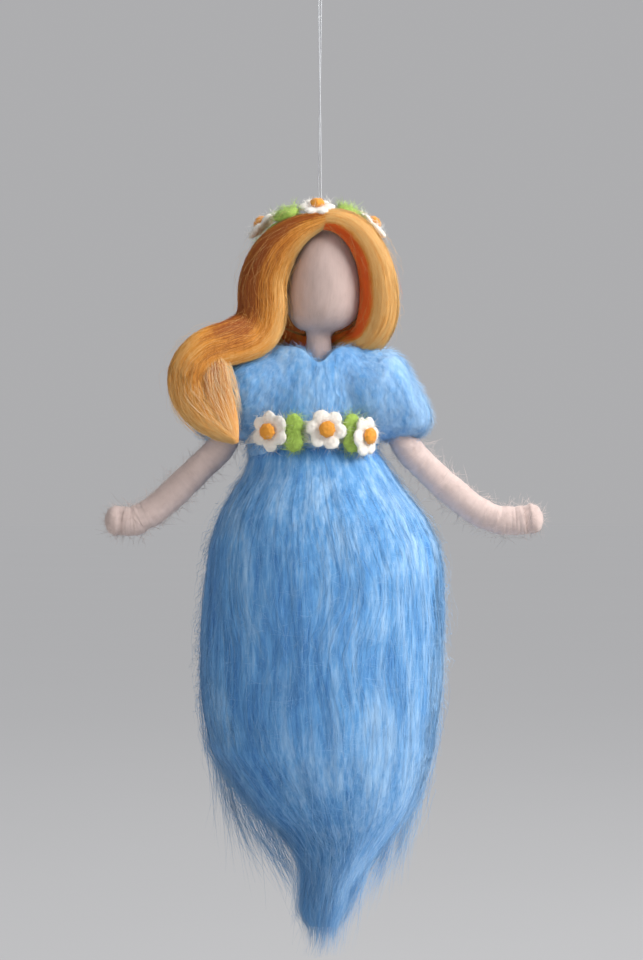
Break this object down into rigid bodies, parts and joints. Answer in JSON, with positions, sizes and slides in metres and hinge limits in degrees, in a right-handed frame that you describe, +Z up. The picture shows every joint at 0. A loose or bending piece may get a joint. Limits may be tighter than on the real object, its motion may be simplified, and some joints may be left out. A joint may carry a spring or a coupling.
{
  "type": "felt doll",
  "caption": "Hanging needle-felted wool doll with poseable arms, puff sleeves, long roving skirt, swept hair, flower wreath and belt, on a looped thread.",
  "frame": {"origin": "the point where a hook bears in the top of the hanging thread's loop", "axes": "+Z up along the hanging thread, +X to the viewer's right as the doll faces the viewer, +Y away from the viewer, so the face looks along -Y"},
  "size_m": [0.114, 0.0493, 0.2664],
  "materials": {
    "nylon_thread": "clear drawn nylon",
    "core_wool": "loose undyed wool",
    "skin_wool": "smooth needled wool, faintly streaked",
    "steel_wire": "twisted steel",
    "blue_wool": "combed roving, soft sheen",
    "tie_thread": "spun wool thread",
    "pale_roving": "loose combed roving",
    "hair_wool": "combed orange-gold roving, soft sheen",
    "white_felt": "thick needled felt",
    "orange_felt": "hard needled felt",
    "leaf_felt": "tufted needled felt"
  },
  "bodies": {
    "loop": {"hanging_loop": "nylon_thread"},
    "thread": {"thread_knot": "nylon_thread", "thread_strand_left": "nylon_thread", "thread_strand_right": "nylon_thread"},
    "doll": {"thread_stitch": "nylon_thread", "wool_core": "core_wool", "neck_tie": "core_wool", "face_skin": "skin_wool", "chest_wire": "steel_wire", "bodice": "blue_wool", "waist_tie": "tie_thread", "hair_cap": "hair_wool", "hair_lock_right": "hair_wool", "hair_lock_left": "hair_wool", "belt_band": "white_felt", "wreath_cord": "leaf_felt", "wreath_flower_1_petals": "white_felt", "wreath_flower_1_centre": "orange_felt", "wreath_flower_2_petals": "white_felt", "wreath_flower_2_centre": "orange_felt", "wreath_flower_3_petals": "white_felt", "wreath_flower_3_centre": "orange_felt", "wreath_flower_4_petals": "white_felt", "wreath_flower_4_centre": "orange_felt", "wreath_flower_5_petals": "white_felt", "wreath_flower_5_centre": "orange_felt", "belt_flower_left_petals": "white_felt", "belt_flower_left_centre": "orange_felt", "belt_flower_middle_petals": "white_felt", "belt_flower_middle_centre": "orange_felt", "belt_flower_right_petals": "white_felt", "belt_flower_right_centre": "orange_felt", "wreath_leaf_1": "leaf_felt", "wreath_leaf_2": "leaf_felt", "wreath_leaf_3": "leaf_felt", "wreath_leaf_4": "leaf_felt", "wreath_leaf_5": "leaf_felt", "belt_leaf_left": "leaf_felt", "belt_leaf_right": "leaf_felt"},
    "left_arm": {"left_upper_wire": "steel_wire", "left_upper_wrap": "skin_wool", "left_sleeve": "blue_wool"},
    "left_forearm": {"left_fore_wire": "steel_wire", "left_fore_wrap": "skin_wool", "left_hand": "skin_wool"},
    "right_arm": {"right_upper_wire": "steel_wire", "right_upper_wrap": "skin_wool", "right_sleeve": "blue_wool"},
    "right_forearm": {"right_fore_wire": "steel_wire", "right_fore_wrap": "skin_wool", "right_hand": "skin_wool"},
    "skirt": {"skirt": "blue_wool", "inner_roving": "pale_roving"}
  },
  "joints": [
    {"name": "thread_swing", "type": "hinge", "parent": "loop", "child": "thread", "pos_m": [0, 0, -0.01385], "axis": [0, 1, 0], "range_deg": [-20, 20]},
    {"name": "doll_turn", "type": "hinge", "parent": "thread", "child": "doll", "pos_m": [0, 0, -0.0805], "axis": [0, 0, 1], "continuous": true},
    {"name": "left_shoulder", "type": "hinge", "parent": "doll", "child": "left_arm", "pos_m": [-0.0225, -0.0005, -0.1282], "axis": [0, 1, 0], "range_deg": [-6, 70]},
    {"name": "right_shoulder", "type": "hinge", "parent": "doll", "child": "right_arm", "pos_m": [0.0185, -0.0005, -0.1282], "axis": [0, -1, 0], "range_deg": [-6, 70]},
    {"name": "left_elbow", "type": "hinge", "parent": "left_arm", "child": "left_forearm", "pos_m": [-0.0368, -0.0005, -0.1512], "axis": [0, 1, 0], "range_deg": [-15, 60]},
    {"name": "right_elbow", "type": "hinge", "parent": "right_arm", "child": "right_forearm", "pos_m": [0.034, -0.0005, -0.1514], "axis": [0, -1, 0], "range_deg": [-15, 60]},
    {"name": "skirt_sway", "type": "hinge", "parent": "doll", "child": "skirt", "pos_m": [0.0005, 0, -0.1436], "axis": [0, 1, 0], "range_deg": [-5, 5]}
  ]
}
